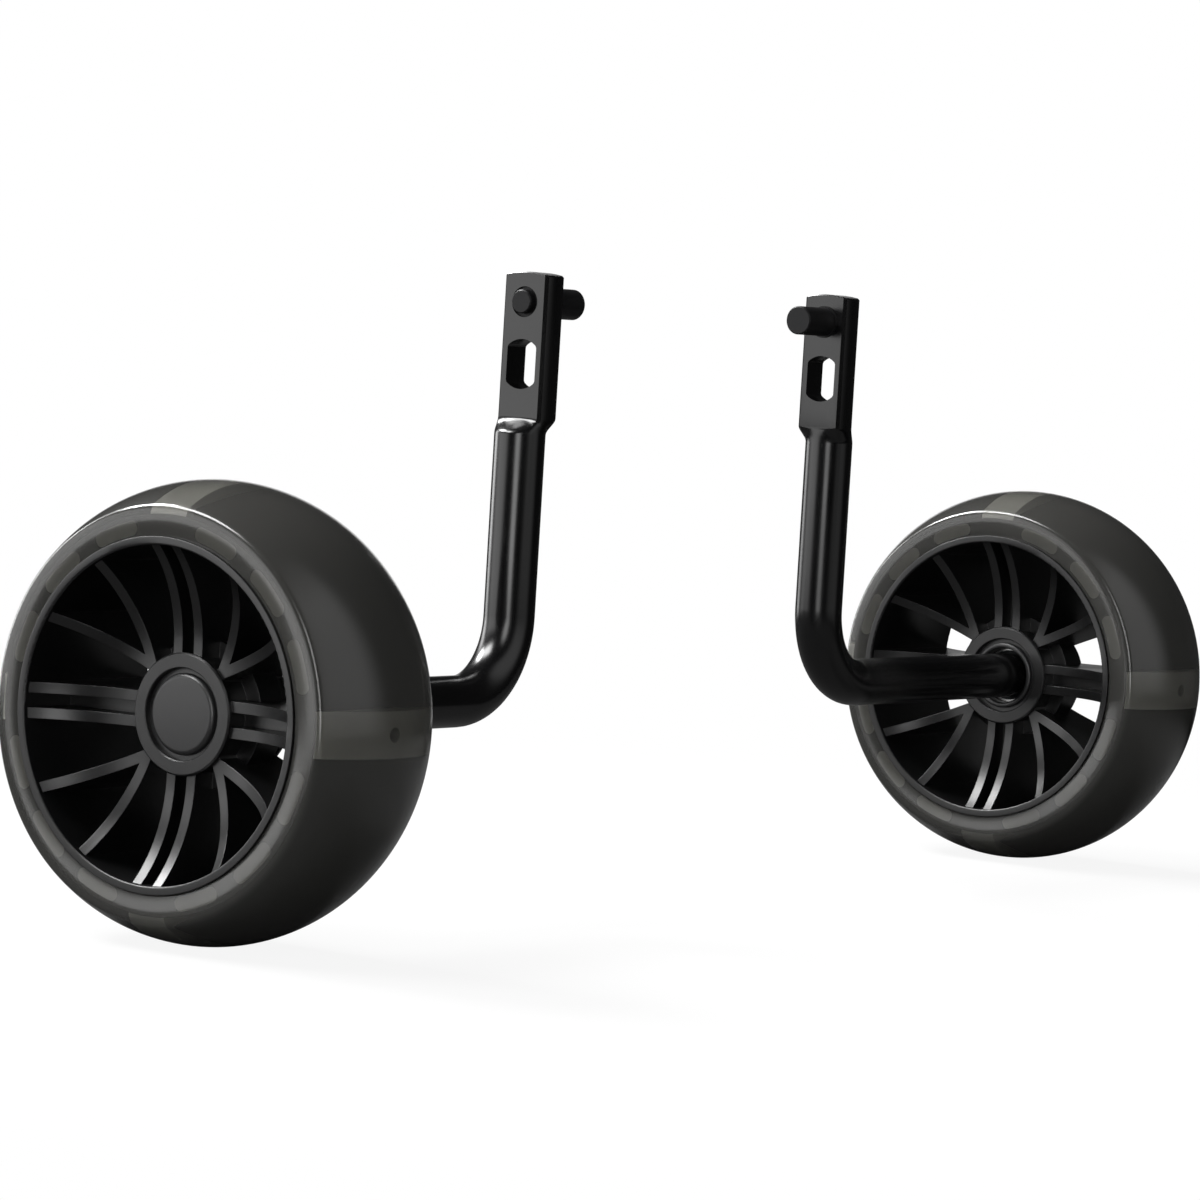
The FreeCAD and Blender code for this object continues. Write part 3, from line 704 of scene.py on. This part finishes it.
class TRAININGWHEEL_OT_bearings(bpy.types.Operator):
    """Finish the bearings and what holds them"""
    bl_idname = "training_wheel.bearings"
    bl_label = "Finish bearings"

    def execute(self, context):
        finishes = settings("finishes")
        dress(bright_metal("Ground bearing steel", finishes.steel, 0.22, 0.8), "_race", "_balls")
        dress(bright_metal("Zinc plated steel", finishes.zinc, 0.38, 1.2), "_cage", "_washer")
        dress(bright_metal("Black zinc plate", finishes.black_zinc, 0.45, 1.2), "_shields")
        dress(bright_metal("Nickel plated magnet", finishes.nickel, 0.28, 1.5), "_magnet")
        dress(bright_metal("Turned brass", finishes.brass, 0.3, 0.9), "_sleeve")
        return {"FINISHED"}


def ahead_of_camera():
    """Level direction in which the photograph looks."""
    azimuth = math.radians(CAMERA_AZIMUTH)
    return Vector((math.sin(azimuth), math.cos(azimuth), 0))


def camera_matrix():
    """The camera's place and turn, from its azimuth, its dip and its roll."""
    azimuth = math.radians(CAMERA_AZIMUTH)
    dip = math.radians(CAMERA_BELOW_LEVEL)
    roll = math.radians(CAMERA_ROLL)
    ahead = Vector((math.sin(azimuth) * math.cos(dip), math.cos(azimuth) * math.cos(dip), -math.sin(dip)))
    right = ahead.cross(Vector((0, 0, 1))).normalized()
    down = ahead.cross(right)
    turned_right = right * math.cos(roll) + down * math.sin(roll)
    turned_down = down * math.cos(roll) - right * math.sin(roll)
    axes = Matrix((turned_right, -turned_down, -ahead)).transposed()
    return Matrix.Translation(CAMERA_PLACE) @ axes.to_4x4()


def add_camera():
    """Camera at the photograph's viewpoint."""
    camera = bpy.data.cameras.new("Camera")
    camera.sensor_width = CAMERA_SENSOR
    camera.sensor_fit = "HORIZONTAL"
    camera.lens = CAMERA_FOCUS_PIXELS * CAMERA_SENSOR / PICTURE_WIDTH
    camera.clip_end = CAMERA_FAR_END
    obj = bpy.data.objects.new("Camera", camera)
    bpy.context.scene.collection.objects.link(obj)
    obj.matrix_world = camera_matrix()
    bpy.context.scene.camera = obj


def eased(tree, value, low, high):
    """0 where a value is at low or beyond, 1 at high or beyond, with a soft change between."""
    made = add_node(tree, "ShaderNodeMapRange", {"Value": value, "From Min": low, "From Max": high},
                    interpolation_type="SMOOTHSTEP")
    return made.outputs["Result"]


def soft_panel(tree, turn, rise, strength, at_turn, at_rise, half_width, half_height):
    """Light of a softbox with soft edges, at a turn to the camera's right and a rise, in degrees."""
    across = maths(tree, "ABSOLUTE", maths(tree, "SUBTRACT", turn, math.radians(at_turn)))
    along = maths(tree, "ABSOLUTE", maths(tree, "SUBTRACT", rise, math.radians(at_rise)))
    width = eased(tree, across, math.radians(half_width), math.radians(half_width) * PANEL_CORE)
    height = eased(tree, along, math.radians(half_height), math.radians(half_height) * PANEL_CORE)
    return maths(tree, "MULTIPLY", maths(tree, "MULTIPLY", width, height), strength)


def ray_kinds(tree):
    """Outputs that are 1 for the rays of gloss, of clear pieces and of the camera."""
    path = add_node(tree, "ShaderNodeLightPath")
    return path.outputs["Is Glossy Ray"], path.outputs["Is Transmission Ray"], path.outputs["Is Camera Ray"]


def add_world(studio):
    """Room with softboxes and a white backdrop behind the wheels, which gloss and clear pieces show too."""
    world = bpy.data.worlds.new("Studio")
    bpy.context.scene.world = world
    world.use_nodes = True
    tree = world.node_tree
    tree.nodes.clear()
    glossy, clear, camera_ray = ray_kinds(tree)
    direction = add_node(tree, "ShaderNodeTexCoord").outputs["Generated"]
    ahead = ahead_of_camera()
    to_right = ahead.cross(Vector((0, 0, 1)))
    forward = add_node(tree, "ShaderNodeVectorMath", {0: direction, 1: ahead}, operation="DOT_PRODUCT")
    sideways = add_node(tree, "ShaderNodeVectorMath", {0: direction, 1: to_right}, operation="DOT_PRODUCT")
    backward = maths(tree, "MULTIPLY", forward.outputs["Value"], -1.0)
    turn = maths(tree, "ARCTAN2", sideways.outputs["Value"], backward)
    rise = maths(tree, "ARCSINE", add_node(tree, "ShaderNodeSeparateXYZ", {0: direction}).outputs["Z"])
    level = add_node(tree, "ShaderNodeValue").outputs[0]
    level.default_value = studio.ambient
    for name, placing in PANELS.items():
        level = maths(tree, "ADD", level, soft_panel(tree, turn, rise, getattr(studio, name), *placing))
    for kind, limits in ((glossy, GLOSS_BACKDROP), (clear, CLEAR_BACKDROP)):
        backdrop = maths(tree, "MULTIPLY", kind, eased(tree, forward.outputs["Value"], *limits))
        level = maths(tree, "MAXIMUM", level, backdrop)
    shown = add_node(tree, "ShaderNodeMix", {0: camera_ray, 2: level, 3: 1.0}, data_type="FLOAT")
    background = add_node(tree, "ShaderNodeBackground", {"Color": WHITE, "Strength": shown.outputs[0]})
    add_node(tree, "ShaderNodeOutputWorld", {"Surface": background.outputs["Background"]})


def add_floor():
    """White floor that keeps a faint shadow near the wheels and is as white as the backdrop at its edge."""
    mesh = bpy.data.meshes.new("Floor")
    corners = [(x * FLOOR_HALF, y * FLOOR_HALF, 0) for x, y in ((-1, -1), (1, -1), (1, 1), (-1, 1))]
    mesh.from_pydata(corners, [], [(0, 1, 2, 3)])
    floor = bpy.data.objects.new("Floor", mesh)
    bpy.context.scene.collection.objects.link(floor)
    material = bpy.data.materials.new("White floor")
    material.use_nodes = True
    tree = material.node_tree
    tree.nodes.clear()
    glossy, clear, camera_ray = ray_kinds(tree)
    mirrored = maths(tree, "MAXIMUM", glossy, clear)
    place = object_place(tree)
    forward = add_node(tree, "ShaderNodeVectorMath", {
        0: place, 1: ahead_of_camera()}, operation="DOT_PRODUCT")
    backdrop = maths(tree, "MULTIPLY", mirrored, eased(tree, forward.outputs["Value"], *FLOOR_BACKDROP))
    shown = maths(tree, "MAXIMUM", camera_ray, backdrop)
    glow = add_node(tree, "ShaderNodeEmission", {"Color": WHITE, "Strength": shown})
    matt = add_node(tree, "ShaderNodeBsdfDiffuse", {"Color": rgba([FLOOR_GREY] * 3)})
    away = add_node(tree, "ShaderNodeVectorMath", {0: place}, operation="LENGTH")
    faded = eased(tree, away.outputs["Value"], *FLOOR_SHADOW_FADE)
    gained = maths(tree, "MULTIPLY", faded, FLOOR_SHADOW_SHARE)
    share = maths(tree, "ADD", 1.0 - FLOOR_SHADOW_SHARE, gained)
    mixed = add_node(tree, "ShaderNodeMixShader", {
        0: share, 1: matt.outputs["BSDF"], 2: glow.outputs["Emission"]})
    add_node(tree, "ShaderNodeOutputMaterial", {"Surface": mixed.outputs["Shader"]})
    mesh.materials.append(material)


class TRAININGWHEEL_OT_stage(bpy.types.Operator):
    """Set up the floor, the room, the softboxes and the camera"""
    bl_idname = "training_wheel.stage"
    bl_label = "Set up studio"

    def execute(self, context):
        studio = settings("studio")
        add_camera()
        add_world(studio)
        add_floor()
        context.scene.view_settings.view_transform = "Standard"
        return {"FINISHED"}


class TRAININGWHEEL_PT_panel(bpy.types.Panel):
    """Everything that builds the training wheels"""
    bl_idname = "TRAININGWHEEL_PT_panel"
    bl_label = "Training wheels"
    bl_space_type = "VIEW_3D"
    bl_region_type = "UI"
    bl_category = "Training wheels"

    def draw(self, context):
        for operator in OPERATORS:
            self.layout.operator(operator.bl_idname)
        for name in GROUPS:
            group = settings(name)
            box = self.layout.box()
            for key in group.__annotations__:
                box.prop(group, key)


OPERATORS = (
    TRAININGWHEEL_OT_tyres,
    TRAININGWHEEL_OT_keys,
    TRAININGWHEEL_OT_cores,
    TRAININGWHEEL_OT_caps,
    TRAININGWHEEL_OT_lights,
    TRAININGWHEEL_OT_bearings,
    TRAININGWHEEL_OT_arms,
    TRAININGWHEEL_OT_pins,
    TRAININGWHEEL_OT_stage,
)
GROUPS = {"tyre": TyreSizes, "key": KeySizes, "finishes": Finishes, "studio": Studio}


def register():
    for group in GROUPS.values():
        bpy.utils.register_class(group)
    for name, group in GROUPS.items():
        setattr(bpy.types.Scene, "training_wheel_" + name, bpy.props.PointerProperty(type=group))
    for operator in OPERATORS:
        bpy.utils.register_class(operator)
    bpy.utils.register_class(TRAININGWHEEL_PT_panel)


def unregister():
    bpy.utils.unregister_class(TRAININGWHEEL_PT_panel)
    for operator in reversed(OPERATORS):
        bpy.utils.unregister_class(operator)
    for name in GROUPS:
        delattr(bpy.types.Scene, "training_wheel_" + name)
    for group in reversed(list(GROUPS.values())):
        bpy.utils.unregister_class(group)


def main():
    register()
    bpy.ops.training_wheel.tyres()
    bpy.ops.training_wheel.keys()
    bpy.ops.training_wheel.cores()
    bpy.ops.training_wheel.caps()
    bpy.ops.training_wheel.lights()
    bpy.ops.training_wheel.bearings()
    bpy.ops.training_wheel.arms()
    bpy.ops.training_wheel.pins()
    bpy.ops.training_wheel.stage()


if __name__ == "__main__":
    main()
